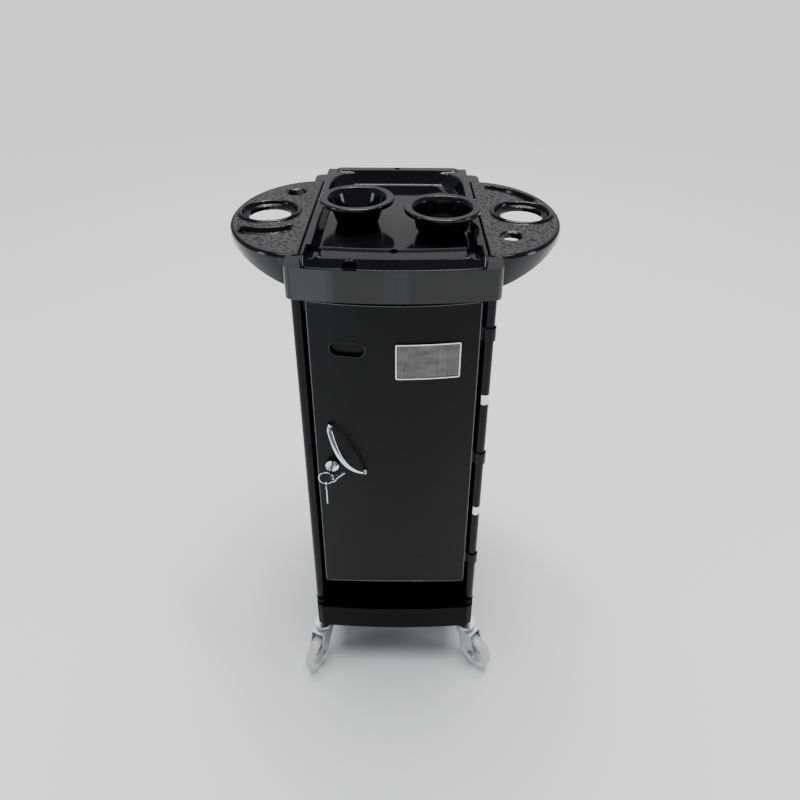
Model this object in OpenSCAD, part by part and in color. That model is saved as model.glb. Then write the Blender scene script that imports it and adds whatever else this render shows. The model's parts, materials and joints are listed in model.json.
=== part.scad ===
// Salon trolley cart: a locker on four swivel casters with a dished top tray,
// two side wings with holders, a bowed door on a round hinge post and two bowls.
// Millimetres. The origin is on the floor under the middle, +Z up, the door faces -Y.

/* [Top frame and tray] */
// Width of the top frame
frame_w = 320; // [300:2:340]
// Height of the top frame's upper face above the floor
frame_top = 928; // [920:1:935]
// Height of the apron
apron_h = 52; // [48:1:56]
// How far the tray's side lips stand above the frame
lip_h = 12; // [10:1:14]
// Depth of the tray's floor below the frame's upper face
well_drop = 10; // [8:1:12]

/* [Wings] */
// How far a wing reaches out from its root
wing_reach = 134; // [126:1:140]
// Radius of the bore in a wing's large holder ring
ring_bore_r = 36; // [34:0.5:37]
// Radius of a wing's small round hole
small_hole_r = 16; // [14:0.5:17]

/* [Door] */
// Width of the door panel
door_w = 268; // [264:1:270]
// Height of the door's top edge above the floor
door_top = 861; // [855:1:864]
// Height of the door's bottom corners above the floor
door_bottom = 234; // [228:1:240]
// How far the door's middle bows out in front of its edges
door_bow = 15.5; // [12:0.5:17]

/* [Posts] */
// Radius of the four upright tubes
post_r = 7.5; // [7:0.1:7.7]
// Radius of the black sleeves on the tubes
sleeve_r = 8; // [7.9:0.1:8.3]

/* [Base and casters] */
// Height of the base tray's underside above the floor
base_z = 114; // [112:1:116]
// Radius of a caster wheel
wheel_r = 37.5; // [36:0.5:38]
// How far a wheel's axle trails behind its swivel axis
caster_trail = 27; // [25:1:28]

/* [Bowls] */
// Outer radius of a bowl's rim
bowl_r = 62; // [58:1:62]
// Height of a bowl
bowl_h = 44; // [42:1:48]

/* [Hidden] */

$fn = 64;
slack = 0.06;         // radial clearance of a running fit
cut = 1;              // how far a cutting shape runs past a face
black = "#1c1c1f";
gloss_black = "#121214";
steel = "#c9ccd0";

// ---- places shared by several parts ----
post_x = 148;
post_front_y = -184;
post_rear_y = 180;
wing_root_x = 143;
wing_mid_y = -2;
wing_top = frame_top + 1;
side_x = 140;          // outer face of the top frame's recessed side walls
block_front_y = -172;  // rear edge of the front corner blocks
block_rear_y = 168;    // front edge of the rear corner blocks
front_y = -225;        // middle of the bowed apron
rear_y = 211;
tray_floor = frame_top - well_drop;
tray_lip = frame_top + lip_h;
tray_half_w = 138.5;
apron_bottom = frame_top - apron_h;
level_pitch = 126;     // spacing of the clips and bare bands on the hinge post
level_top = 804;
bow_front_y = -203.5;  // middle of the door's front face
bow_radius = (pow(door_w / 2, 2) + pow(door_bow, 2)) / (2 * door_bow);
panel_t = 3;
lock_x = -107;
lock_z = 542;
socket_top = 183;

// Points of an arc bowed towards -Y, from -half to +half, its middle at y
function bowed(half, y, bow, steps = 24) =
  let (r = (half * half + bow * bow) / (2 * bow), a = asin(half / r))
  [for (i = [0:steps]) let (t = -a + 2 * a * i / steps) [r * sin(t), y + r - r * cos(t)]];

// Points of half an ellipse standing on x = 0, reaching out to +a
function half_ellipse(a, b, steps = 48) =
  [for (i = [0:steps]) let (t = -90 + 180 * i / steps) [a * cos(t), b * sin(t)]];

module rounded_rect(x0, y0, x1, y1, r) {
  for (x = [x0 + r, x1 - r], y = [y0 + r, y1 - r]) translate([x, y]) circle(r);
  translate([x0 + r, y0]) square([x1 - x0 - 2 * r, y1 - y0]);
  translate([x0, y0 + r]) square([x1 - x0, y1 - y0 - 2 * r]);
}

module slab(z0, z1) {
  translate([0, 0, z0]) linear_extrude(z1 - z0) children();
}

// ---- top frame ----
block_r = 14;

module frame_outline(inset) {
  half = frame_w / 2 - inset;
  polygon(concat(
    bowed(half - block_r, front_y + inset, 12),
    [[half - block_r, rear_y - inset], [block_r - half, rear_y - inset]]));
  difference() {
    union() {
      for (s = [-1, 1], y = [-213 + inset + block_r, rear_y - inset - block_r])
        translate([s * (half - block_r), y]) circle(block_r);
      for (s = [-1, 1]) translate([s * (half - block_r / 2) - block_r / 2, -213 + inset + block_r])
        square([block_r, rear_y + 213 - 2 * (inset + block_r)]);
    }
    for (s = [-1, 1]) translate([s * (side_x - inset + 20) - 20, block_front_y - inset])
      square([40, block_rear_y - block_front_y + 2 * inset]);
  }
}

module side_cut(inset) {
  for (s = [-1, 1]) translate([s * (side_x - inset + 20) - 20, block_front_y - inset])
    square([40, block_rear_y - block_front_y + 2 * inset]);
}

module top_frame() {
  wall = 4;
  color(gloss_black) difference() {
    union() {
      difference() {
        slab(apron_bottom, frame_top) difference() { frame_outline(0); side_cut(0); }
        slab(apron_bottom - cut, frame_top - wall)
          difference() { frame_outline(wall); side_cut(wall); }
      }
      for (s = [-1, 1], y = [post_front_y, post_rear_y])
        translate([s * post_x, y, apron_bottom + 4]) cylinder(r = 10.5, h = apron_h - 6);
    }
    slab(apron_bottom - cut, frame_top + cut) rounded_rect(-128, -176, 128, 191, 10);
    for (s = [-1, 1], y = [post_front_y, post_rear_y])
      translate([s * post_x, y, apron_bottom - cut]) cylinder(r = post_r + slack, h = apron_h - 4 + cut);
    for (y = [front_hole_y, rear_hole_y])
      translate([0, y, frame_top - 8]) cylinder(r = tray_hole_r, h = 10);
    for (y = wing_bolts) translate([0, y + wing_mid_y, wing_top - 31])
      rotate([0, 90, 0]) cylinder(r = 2.6, h = 300, center = true);
  }
}

// ---- top tray ----
tray_wall = 3;
front_hole_y = -185;
rear_hole_y = 198.5;
tray_hole_r = 5.5;
lobe_x = 117;          // centres of the round pockets in the front corners
lobe_y = -178;
lobe_r = 13;
notch_x = -63;

module tray_outline(inset) {
  half = tray_half_w - inset;
  polygon(concat(bowed(half, -213 + inset, 13),
    [[half, 207 - inset], [-half, 207 - inset]]));
}

module well_outline(grow) {
  rounded_rect(-123 - grow, -172 - grow, 123 + grow, 187 + grow, 14 + grow);
}

// Round pockets in the front corners, open to the well behind them
module pockets(grow) {
  for (s = [-1, 1]) {
    translate([s * lobe_x, lobe_y]) circle(lobe_r + grow);
    translate([s * lobe_x - lobe_r - grow, lobe_y]) square([2 * (lobe_r + grow), 20]);
  }
}

module top_tray() {
  color(gloss_black) difference() {
    union() {
      difference() {
        slab(frame_top, tray_lip) tray_outline(0);
        slab(frame_top - cut, tray_lip - tray_wall) difference() {
          tray_outline(tray_wall);
          well_outline(tray_wall);
          pockets(tray_wall);
        }
      }
      slab(tray_floor - tray_wall, tray_lip) well_outline(tray_wall);
      translate([0, 207, 0]) rotate([90, 0, 0]) linear_extrude(20)
        polygon([[-122, tray_lip - 3], [-122, tray_lip], [-104, tray_lip + 8], [104, tray_lip + 8],
          [122, tray_lip], [122, tray_lip - 3]]);
      for (y = [front_hole_y, rear_hole_y])
        translate([0, y, frame_top]) cylinder(r = tray_hole_r + 2, h = lip_h - 1);
    }
    slab(tray_floor, tray_lip + 20) well_outline(0);
    slab(frame_top + tray_wall, tray_lip + cut) pockets(0);
    translate([notch_x, -195, frame_top]) rotate([90, 0, 0]) cylinder(r = 10.5, h = 30);
    for (y = [front_hole_y, rear_hole_y])
      translate([0, y, frame_top - cut]) cylinder(r = tray_hole_r, h = 40);
  }
}

// ---- wings, drawn on the right side and mirrored for the left ----
ring_x = 215.5 - wing_root_x;  // the ring's centre from the root and the wing's middle
ring_y = 6;
small_x = 184.5 - wing_root_x;
left_small_y = 106;
right_small_y = -93;
wing_half = 173;
wing_plate = 5;
skirt_t = 3.5;
boss_depth = 11;       // how far the holes' walls reach down from the wing's top
wing_bolts = [-150, 150];

module wing_outline(inset) {
  intersection() {
    polygon(half_ellipse(wing_reach - inset, wing_half - inset));
    translate([inset, -169.4 + inset]) square([200, 338.8 - 2 * inset]);
  }
}

// The skirt's lower edge climbs from the root out to the tip
module skirt_cut() {
  rotate([90, 0, 0]) linear_extrude(400, center = true)
    polygon([[-cut, -60], [-cut, -53], [15, -53], [108, -16], [150, -16], [150, -60]]);
}

module wing_blank(small_y) {
  difference() {
    union() {
      difference() {
        slab(-53, 0) wing_outline(0);
        slab(-60, -wing_plate) wing_outline(skirt_t);
        skirt_cut();
      }
      translate([ring_x, ring_y, 0]) rotate_extrude($fn = 96)
        polygon([[36, -boss_depth], [40, -boss_depth], [40, -wing_plate], [53, -wing_plate],
          [53, 0], [50, 3], [47, 3], [38, -1], [36, -3]]);
      translate([small_x, small_y, -boss_depth]) cylinder(r = small_hole_r + 3, h = 8);
    }
    translate([ring_x, ring_y, -30]) cylinder(r = ring_bore_r, h = 50, $fn = 96);
    translate([ring_x, ring_y, -3]) cylinder(r1 = ring_bore_r, r2 = 47, h = 6.05, $fn = 96);
    translate([small_x, small_y, -30]) cylinder(r = small_hole_r, h = 50);
    for (y = wing_bolts) translate([-cut, y, -31]) rotate([0, 90, 0]) cylinder(r = 2.6, h = 10);
  }
}

// A band in front of the ring between two radii, from x0 to x1 measured from the ring
module arc_band(r0, r1, x0, x1) {
  translate([ring_x, ring_y]) intersection() {
    difference() { circle(r1, $fn = 120); circle(r0, $fn = 120); }
    translate([x0, -140]) square([x1 - x0, 140]);
  }
}

// A band along the wing's rear edge between two half ellipses
module edge_band(a0, b0, a1, b1, x0, y0) {
  intersection() {
    difference() { polygon(half_ellipse(a1, b1)); polygon(half_ellipse(a0, b0)); }
    translate([x0, y0]) square([120, 140]);
  }
}

module wing_left() {
  mirror([1, 0, 0]) translate([wing_root_x, wing_mid_y, wing_top]) color(black) difference() {
    union() {
      wing_blank(left_small_y);
      slab(-boss_depth, -wing_plate + 0.5) arc_band(72, 102, -51, 38);
    }
    slab(-8, cut) difference() {
      arc_band(75, 99, -48, 35);
      arc_band(86, 88, -60, 60);
    }
    slab(-6, cut) arc_band(75, 99, -48, 35);
  }
}

module wing_right() {
  translate([wing_root_x, wing_mid_y, wing_top]) color(black) difference() {
    union() {
      wing_blank(right_small_y);
      slab(-boss_depth, -wing_plate + 0.5) edge_band(99, 122, 125, 152, 22, 64);
    }
    slab(-8, cut) difference() {
      edge_band(102, 125, 122, 149, 25, 67);
      edge_band(111, 136, 113, 138, 20, 60);
    }
    slab(-6, cut) edge_band(102, 125, 122, 149, 25, 67);
  }
}

module wing_screws() {
  color(steel) for (s = [-1, 1], y = wing_bolts)
    translate([s * 135.9, y + wing_mid_y, wing_top - 31]) rotate([0, s * 90, 0]) {
      cylinder(r = 2.4, h = 14);
      translate([0, 0, -3]) cylinder(r = 4.5, h = 3);
      translate([0, 0, 11]) cylinder(r = 4.5, h = 3);
    }
}

// ---- posts and their sleeves ----
module post(s, y) {
  color(steel) translate([s * post_x, y, base_z + 8]) difference() {
    cylinder(r = post_r, h = frame_top - 6 - base_z - 8);
    translate([0, 0, -cut]) cylinder(r = post_r - 1.2, h = 900);
  }
}

module post_front_left() { post(-1, post_front_y); }
module post_front_right() { post(1, post_front_y); }
module post_rear_left() { post(-1, post_rear_y); }
module post_rear_right() { post(1, post_rear_y); }

module sleeve(s, y, z0, z1) {
  translate([s * post_x, y, z0]) difference() {
    cylinder(r = sleeve_r, h = z1 - z0);
    translate([0, 0, -cut]) cylinder(r = post_r, h = z1 - z0 + 2 * cut);
  }
}

clip_h = 24;
band_h = 20;

module hinge_post_sleeves() {
  // Sleeve ends, from the top down: clips at even levels, bare bands at odd ones
  gaps = [for (i = [0:4]) let (half = (i % 2 == 0 ? clip_h + 1 : band_h) / 2)
    [level_top - i * level_pitch - half, level_top - i * level_pitch + half]];
  color(black) {
    sleeve(1, post_front_y, gaps[0][1], apron_bottom + 4);
    for (i = [0:3]) sleeve(1, post_front_y, gaps[i + 1][1], gaps[i][0]);
    sleeve(1, post_front_y, socket_top, gaps[4][0]);
  }
}

module plain_post_sleeves() {
  color(black) {
    sleeve(-1, post_front_y, socket_top, apron_bottom + 4);
    for (s = [-1, 1]) sleeve(s, post_rear_y, socket_top, apron_bottom + 4);
  }
}

// ---- base tray ----
base_half_w = 155;
base_wall = 5;

module base_outline(inset) {
  half = base_half_w - inset;
  polygon(concat(bowed(half - 10, -207 + inset, 6),
    [[half, -194 + inset], [half, 194 - inset], [half - 8, 202 - inset],
     [8 - half, 202 - inset], [-half, 194 - inset], [-half, -194 + inset]]));
}

module base_tray() {
  color(gloss_black) difference() {
    union() {
      difference() {
        slab(base_z, socket_top - 4) base_outline(0);
        slab(base_z + 6, socket_top) base_outline(base_wall);
        slab(170, socket_top) translate([-base_half_w - 5, -230]) square([2 * base_half_w + 10, 37]);
      }
      for (s = [-1, 1], y = [post_front_y, post_rear_y])
        translate([s * (post_x - 3), y, base_z]) cylinder(r = 12, h = socket_top - base_z);
      slab(base_z + 5, base_z + 12) polygon(concat(bowed(131, -126, 9), [[131, 174], [-131, 174]]));
    }
    for (s = [-1, 1], y = [post_front_y, post_rear_y]) {
      translate([s * post_x, y, base_z + 8]) cylinder(r = post_r + slack, h = 100);
      translate([s * post_x, y, base_z - cut]) cylinder(r = 5.5, h = 20);
    }
  }
}

// ---- inner panels, rails and trays ----
panel_z0 = base_z + 6;
panel_z1 = apron_bottom;

module side_panel(s) {
  color(black) translate([s * 145 - 1.25, -168, panel_z0])
    cube([2.5, 335, panel_z1 - panel_z0]);
}

module side_panel_left() { side_panel(-1); }
module side_panel_right() { side_panel(1); }

module back_panel() {
  color(black) translate([0, post_rear_y - 1, 0]) {
    translate([-138, 0, socket_top + 1]) cube([276, 2.5, panel_z1 - socket_top - 1]);
    translate([-132, 0, panel_z0]) cube([264, 2.5, socket_top + 2 - panel_z0]);
  }
}

tray_levels = [for (i = [0:4]) 270 + i * level_pitch * 0.94];
rail_w = 11;

module runner_rails() {
  color(steel) for (s = [-1, 1], z = tray_levels) {
    translate([s * (143.75 - rail_w / 2) - rail_w / 2, -160, z + 60]) cube([rail_w, 312, 2]);
    translate([s * 142.75 - 1, -160, z + 50]) cube([2, 312, 10]);
  }
}

module inner_tray(i) {
  z = tray_levels[i - 1];
  color("#26262a") difference() {
    union() {
      slab(z, z + 70) rounded_rect(-131, -163, 131, 158, 8);
      slab(z + 62, z + 66) translate([-138, -150]) square([276, 300]);
    }
    slab(z + 3, z + 80) rounded_rect(-128, -160, 128, 155, 6);
  }
}

module inner_tray_1() { inner_tray(1); }
module inner_tray_2() { inner_tray(2); }
module inner_tray_3() { inner_tray(3); }
module inner_tray_4() { inner_tray(4); }
module inner_tray_5() { inner_tray(5); }

// ---- door ----
// A sheet between two depths in front of (negative) or behind the bowed face
module bowed_sheet(front, back, z0, z1) {
  translate([0, bow_front_y + bow_radius, z0]) difference() {
    cylinder(r = bow_radius - front, h = z1 - z0, $fn = 360);
    translate([0, 0, -cut]) cylinder(r = bow_radius - back, h = z1 - z0 + 2 * cut, $fn = 360);
  }
}

// The door's front face at a given place across it
function door_y(x) = bow_front_y + bow_radius - sqrt(bow_radius * bow_radius - x * x);

// A prism along Y through the door, from an outline drawn in X and Z
module through_door(y0 = -240, y1 = -150) {
  translate([0, y1, 0]) rotate([90, 0, 0]) linear_extrude(y1 - y0) children();
}

grip_x = -73;
grip_z = 780.5;
grip_w = 56;
grip_h = 26;
grip_depth = 6;

module grip_outline(inset) {
  r = grip_h / 2 - inset;
  for (s = [-1, 1]) translate([grip_x + s * (grip_w - grip_h) / 2, grip_z]) circle(r);
  translate([grip_x - (grip_w - grip_h) / 2, grip_z - r]) square([grip_w - grip_h, 2 * r]);
}

module door_outline() {
  arch = 16;
  arch_half = door_w / 2 - 5;
  arch_r = (arch_half * arch_half + arch * arch) / (2 * arch);
  difference() {
    translate([-door_w / 2, door_bottom]) square([door_w, door_top - door_bottom]);
    translate([0, door_bottom + arch - arch_r]) circle(arch_r, $fn = 240);
  }
}

module door_panel() {
  color(black) difference() {
    union() {
      intersection() {
        bowed_sheet(0, panel_t, door_bottom, door_top);
        through_door() door_outline();
      }
      for (s = [-1, 1]) translate([s * (door_w / 2 - 1.5) - 1.5, -187.4, door_bottom])
        cube([3, 9.4, door_top - door_bottom]);
      translate([-door_w / 2 - 2.5, -189, door_top - 16]) cube([3, 8, 16]);
      intersection() {
        bowed_sheet(1, grip_depth + 3, grip_z - 30, grip_z + 30);
        through_door() grip_outline(-3);
      }
    }
    intersection() {
      bowed_sheet(-5, grip_depth, grip_z - 30, grip_z + 30);
      through_door() grip_outline(0);
    }
    translate([lock_x, -150, lock_z]) rotate([90, 0, 0]) cylinder(r = 9.1, h = 70);
    for (p = handle_ends) translate([p[0], -150, p[1]]) rotate([90, 0, 0]) cylinder(r = 2.6, h = 70);
    for (i = [0, 2, 4]) translate([door_w / 2 - 6, post_front_y + 2.5, level_top - i * level_pitch])
      rotate([0, 90, 0]) cylinder(r = 1.6, h = 12);
  }
}

// Three clips that snap round the hinge post and screw to the door's edge
module hinge_clips() {
  color(black) for (i = [0, 2, 4]) {
    z = level_top - i * level_pitch - clip_h / 2;
    translate([post_x, post_front_y, z]) {
      difference() {
        union() {
          cylinder(r = 10.5, h = clip_h);
          translate([-14, -3, 0]) cube([8, 11, clip_h]);
          rotate([0, 0, 20]) translate([8.6, -2.2, 0]) rotate([0, 0, 25]) cube([5, 2.2, clip_h]);
        }
        translate([0, 0, -cut]) cylinder(r = post_r + slack, h = clip_h + 2 * cut);
        rotate([0, 0, 40]) translate([0, -5, -cut]) cube([20, 10, clip_h + 2 * cut]);
        translate([-16, 2.5, clip_h / 2]) rotate([0, 90, 0]) cylinder(r = 1.6, h = 8);
      }
    }
  }
}

module hinge_screws() {
  color(steel) for (i = [0, 2, 4])
    translate([door_w / 2 - 3.05, post_front_y + 2.5, level_top - i * level_pitch]) {
      rotate([0, -90, 0]) cylinder(r = 3, h = 2);
      rotate([0, 90, 0]) cylinder(r = 1.5, h = 8);
    }
}

handle_ends = [[-107, 626], [-50, 532]];
handle_stand = 24;
handle_y = -208;       // the middle of the bow's ends

// A bow-shaped pull in a plane square to the door
module pull_handle() {
  a = handle_ends[0];
  b = handle_ends[1];
  half = norm(b - a) / 2;
  r = (half * half + handle_stand * handle_stand) / (2 * handle_stand);
  sweep = asin(half / r);
  color(steel) difference() {
    union() {
      translate([(a[0] + b[0]) / 2, handle_y, (a[1] + b[1]) / 2])
        rotate([0, atan2(a[1] - b[1], b[0] - a[0]), 0]) translate([0, r - handle_stand, 0])
          rotate([0, 0, -90 - sweep]) rotate_extrude(angle = 2 * sweep, $fn = 96)
            translate([r, 0]) circle(4, $fn = 32);
      for (p = handle_ends) translate([p[0], door_y(p[0]) + 0.05, p[1]])
        rotate([90, 0, 0]) cylinder(r = 4.5, h = door_y(p[0]) - handle_y + 3);
    }
    for (p = handle_ends) translate([p[0], door_y(p[0]) + 1, p[1]])
      rotate([90, 0, 0]) cylinder(r = 2.4, h = 7);
    bowed_sheet(0, panel_t, handle_ends[1][1] - 20, handle_ends[0][1] + 20);
  }
}

module handle_screws() {
  color(steel) for (p = handle_ends)
    translate([p[0], door_y(p[0]), p[1]]) rotate([-90, 0, 0]) {
      translate([0, 0, -5.5]) cylinder(r = 2.3, h = 10);
      translate([0, 0, 4.2]) cylinder(r = 4.5, h = 2.5);
    }
}

card_x = 53.4;
card_z = 761.5;
card_w = 102;
card_h = 65;
card_edge = 1.8;

module card_outline(inset) {
  rounded_rect(card_x - card_w / 2 + inset, card_z - card_h / 2 + inset,
    card_x + card_w / 2 - inset, card_z + card_h / 2 - inset, max(0.6, 2.5 - inset / 2));
}

module card_frame() {
  color(steel) intersection() {
    bowed_sheet(-3, 0, card_z - 50, card_z + 50);
    through_door() difference() { card_outline(0); card_outline(card_edge); }
  }
}

module card_insert() {
  color("#9b9b9b") intersection() {
    bowed_sheet(-1, 0, card_z - 50, card_z + 50);
    through_door() card_outline(card_edge);
  }
}

module card_window() {
  color("#d8d8d8") intersection() {
    bowed_sheet(-2.2, -1, card_z - 50, card_z + 50);
    through_door() card_outline(card_edge);
  }
}

// ---- lock: a barrel through the door, a plug that turns in it, and a cam behind ----
lock_face_y = -201;
lock_back_y = -176;

module along_lock(y) {
  translate([lock_x, y, lock_z]) rotate([-90, 0, 0]) children();
}

module lock_body() {
  color(steel) difference() {
    union() {
      along_lock(lock_face_y) cylinder(r = 11.5, h = 5.2);
      along_lock(lock_face_y) cylinder(r = 9, h = lock_back_y - lock_face_y);
    }
    along_lock(lock_face_y - cut) cylinder(r = 6 + slack, h = 40);
  }
}

module lock_nut() {
  color(steel) difference() {
    along_lock(-187) cylinder(r = 13, h = 4, $fn = 6);
    along_lock(-190) cylinder(r = 9, h = 12);
  }
}

module lock_plug() {
  color(steel) difference() {
    along_lock(lock_face_y + 0.4) cylinder(r = 6, h = lock_back_y - lock_face_y + 0.2);
    translate([lock_x - 1.1, lock_face_y - cut, lock_z - 4]) cube([2.2, 18, 8]);
  }
}

module lock_key() {
  color(steel) difference() {
    union() {
      translate([lock_x - 1, lock_face_y - 4, lock_z - 3.8]) cube([2, 20, 7.6]);
      translate([lock_x - 1, lock_face_y - 14, lock_z]) rotate([0, 90, 0]) cylinder(r = 11, h = 2);
    }
    translate([lock_x - 2, ring_plane, lock_z]) rotate([0, 90, 0]) cylinder(r = 3.6, h = 4);
  }
}

// The cam hangs down when the lock is open and swings behind the left post to lock
module lock_cam() {
  color(steel) difference() {
    union() {
      along_lock(lock_back_y + 0.6) cylinder(r = 8, h = 2);
      translate([lock_x - 7, lock_back_y + 0.6, lock_z - 43]) cube([14, 2, 43]);
    }
    along_lock(lock_back_y - cut) cylinder(r = 2.2, h = 6);
  }
}

module cam_screw() {
  color(steel) {
    along_lock(lock_back_y + 0.7) cylinder(r = 2.1, h = 3);
    along_lock(lock_back_y + 2.6) cylinder(r = 4.5, h = 2.4);
  }
}

// The ring hangs in the key's hole at its upper right, the other keys on the ring
ring_r = 12.5;
ring_wire = 0.9;
ring_plane = lock_face_y - 19;
ring_mid = [lock_x - ring_r * sqrt(0.5), lock_z - ring_r * sqrt(0.5)];

module key_ring() {
  color(steel) translate([ring_mid[0], ring_plane, ring_mid[1]]) rotate([90, 0, 0])
    rotate_extrude($fn = 64) translate([ring_r, 0]) circle(ring_wire, $fn = 24);
}

// place is where round the ring a key hangs, lean is the way it points, both from straight down
module spare_key(place, lean, length) {
  translate([ring_mid[0], ring_plane, ring_mid[1]]) rotate([0, place, 0]) translate([0, 0, -ring_r])
    rotate([0, lean - place + 90, 0]) difference() {
      union() {
        translate([3.6, 0, 0]) cylinder(r = 7, h = 1.8, center = true);
        translate([9, -3, -0.9]) cube([length - 9, 6, 1.8]);
        translate([length - 8, -3, -0.9]) cube([4, 7, 1.8]);
      }
      cylinder(r = 2.8, h = 6, center = true);
    }
}

module spare_keys() {
  color(steel) {
    spare_key(0, 0, 44);
    spare_key(-75, -130, 27);
  }
}

// ---- bowls ----
left_bowl = [-64, -16];
right_bowl = [76, -58];

module bowl_left() {
  color(gloss_black) translate([left_bowl[0], left_bowl[1], tray_floor + 0.3]) {
    rotate_extrude($fn = 96) union() {
      polygon([[0, 0], [32, 0], [34, 2], [48, bowl_h - 3], [50.5, bowl_h - 0.6],
        [bowl_r - 3, bowl_h - 0.6], [bowl_r - 1, bowl_h - 5], [bowl_r + 0.4, bowl_h - 5],
        [bowl_r + 0.4, bowl_h - 1], [bowl_r - 2, bowl_h + 1.6], [50, bowl_h + 1.6], [46, bowl_h - 2],
        [32, 3.5], [31, 2.6], [0, 2.6]]);
    }
  }
}

module bowl_right() {
  belly = [for (i = [0:8]) let (t = i * 10) [30 + 14 * sin(t), 22 - 22 * cos(t)]];
  hollow = [for (i = [8:-1:0]) let (t = i * 10) [27.5 + 14 * sin(t), 24.6 - 22 * cos(t)]];
  color(gloss_black) translate([right_bowl[0], right_bowl[1], tray_floor + 0.3]) {
    rotate_extrude($fn = 96) polygon(concat(
      [[0, 0]], belly, [[48, bowl_h - 3], [50.5, bowl_h - 0.6], [bowl_r - 3, bowl_h - 0.6],
        [bowl_r - 1, bowl_h - 5], [bowl_r + 0.4, bowl_h - 5], [bowl_r + 0.4, bowl_h - 1],
        [bowl_r - 2, bowl_h + 1.6], [50, bowl_h + 1.6], [46, bowl_h - 2]], hollow, [[0, 2.6]]));
  }
}

// ---- casters: place i, j picks the side and end, turn is the way the wheel trails ----
wheel_w = 21;
crown_z = 88;
race_z = 92;

module at_caster(s, y, turn) {
  translate([s * post_x, y, 0]) rotate([0, 0, turn]) children();
}

module caster_stem() {
  color(steel) {
    translate([0, 0, race_z + 5]) cylinder(r = 5, h = base_z + 22 - race_z - 8);
    translate([0, 0, race_z + 5]) cylinder(r = 9, h = base_z - race_z - 5.2);
    translate([0, 0, race_z + 4.5]) cylinder(r = 17.5, h = 5);
  }
}

// Drawn with the wheel trailing towards -Y
module caster_fork() {
  color(steel) difference() {
    union() {
      translate([0, 0, crown_z + 1]) cylinder(r = 16, h = race_z - crown_z + 3);
      crown_plate();
      for (s = [-1, 1]) translate([s * 14 - 1, 0, 0]) rotate([90, 0, 90]) linear_extrude(2)
        polygon([[16, crown_z + 2], [-22, crown_z + 2], [-37, 44], [-37, 32], [-30, 27],
          [-22, 27], [-15, 34], [14, crown_z - 10]]);
    }
    translate([-30, -caster_trail, wheel_r]) rotate([0, 90, 0]) cylinder(r = 4 + slack, h = 60);
  }
}

module crown_plate() {
  translate([-15, -24, crown_z]) cube([30, 40, 2.2]);
}

module caster_axle() {
  color(steel) translate([0, -caster_trail, wheel_r]) rotate([0, 90, 0]) {
    translate([0, 0, -20]) cylinder(r = 4, h = 40);
    translate([0, 0, 15.1]) cylinder(r = 7.4, h = 4.5, $fn = 6);
    translate([0, 0, -19.6]) cylinder(r = 7.4, h = 4.5, $fn = 6);
  }
}

module caster_wheel() {
  color("#d9dad6") translate([0, -caster_trail, wheel_r]) rotate([0, 90, 0]) difference() {
    rotate_extrude($fn = 96) polygon([[4 + slack, -12], [9, -12], [9, -7], [26, -7], [27, -wheel_w / 2],
      [34, -wheel_w / 2], [wheel_r - 0.8, -7], [wheel_r, 0], [wheel_r - 0.8, 7], [34, wheel_w / 2],
      [27, wheel_w / 2], [26, 7], [9, 7], [9, 12], [4 + slack, 12]]);
  }
}

turn_fl = -25;
turn_fr = 45;
turn_rl = 200;
turn_rr = 160;

module stem_front_left() { at_caster(-1, post_front_y, 0) caster_stem(); }
module stem_front_right() { at_caster(1, post_front_y, 0) caster_stem(); }
module stem_rear_left() { at_caster(-1, post_rear_y, 0) caster_stem(); }
module stem_rear_right() { at_caster(1, post_rear_y, 0) caster_stem(); }
module fork_front_left() { at_caster(-1, post_front_y, turn_fl) caster_fork(); }
module fork_front_right() { at_caster(1, post_front_y, turn_fr) caster_fork(); }
module fork_rear_left() { at_caster(-1, post_rear_y, turn_rl) caster_fork(); }
module fork_rear_right() { at_caster(1, post_rear_y, turn_rr) caster_fork(); }
module axle_front_left() { at_caster(-1, post_front_y, turn_fl) caster_axle(); }
module axle_front_right() { at_caster(1, post_front_y, turn_fr) caster_axle(); }
module axle_rear_left() { at_caster(-1, post_rear_y, turn_rl) caster_axle(); }
module axle_rear_right() { at_caster(1, post_rear_y, turn_rr) caster_axle(); }
module wheel_front_left() { at_caster(-1, post_front_y, turn_fl) caster_wheel(); }
module wheel_front_right() { at_caster(1, post_front_y, turn_fr) caster_wheel(); }
module wheel_rear_left() { at_caster(-1, post_rear_y, turn_rl) caster_wheel(); }
module wheel_rear_right() { at_caster(1, post_rear_y, turn_rr) caster_wheel(); }

top_frame();
top_tray();
wing_left();
wing_right();
wing_screws();
post_front_left();
post_front_right();
post_rear_left();
post_rear_right();
hinge_post_sleeves();
plain_post_sleeves();
base_tray();
back_panel();
side_panel_left();
side_panel_right();
runner_rails();
inner_tray_1();
inner_tray_2();
inner_tray_3();
inner_tray_4();
inner_tray_5();
door_panel();
hinge_clips();
hinge_screws();
pull_handle();
handle_screws();
card_frame();
card_insert();
card_window();
lock_body();
lock_nut();
lock_plug();
lock_key();
lock_cam();
cam_screw();
key_ring();
spare_keys();
bowl_left();
bowl_right();
stem_front_left();
stem_front_right();
stem_rear_left();
stem_rear_right();
fork_front_left();
fork_front_right();
fork_rear_left();
fork_rear_right();
axle_front_left();
axle_front_right();
axle_rear_left();
axle_rear_right();
wheel_front_left();
wheel_front_right();
wheel_rear_left();
wheel_rear_right();
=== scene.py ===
"""The looks of a salon trolley cart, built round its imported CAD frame. Metres, +Z up, the door faces -Y."""

import json
import math

import bmesh
import bpy
from mathutils import Matrix, Vector
from mathutils import noise as mathutils_noise


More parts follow.
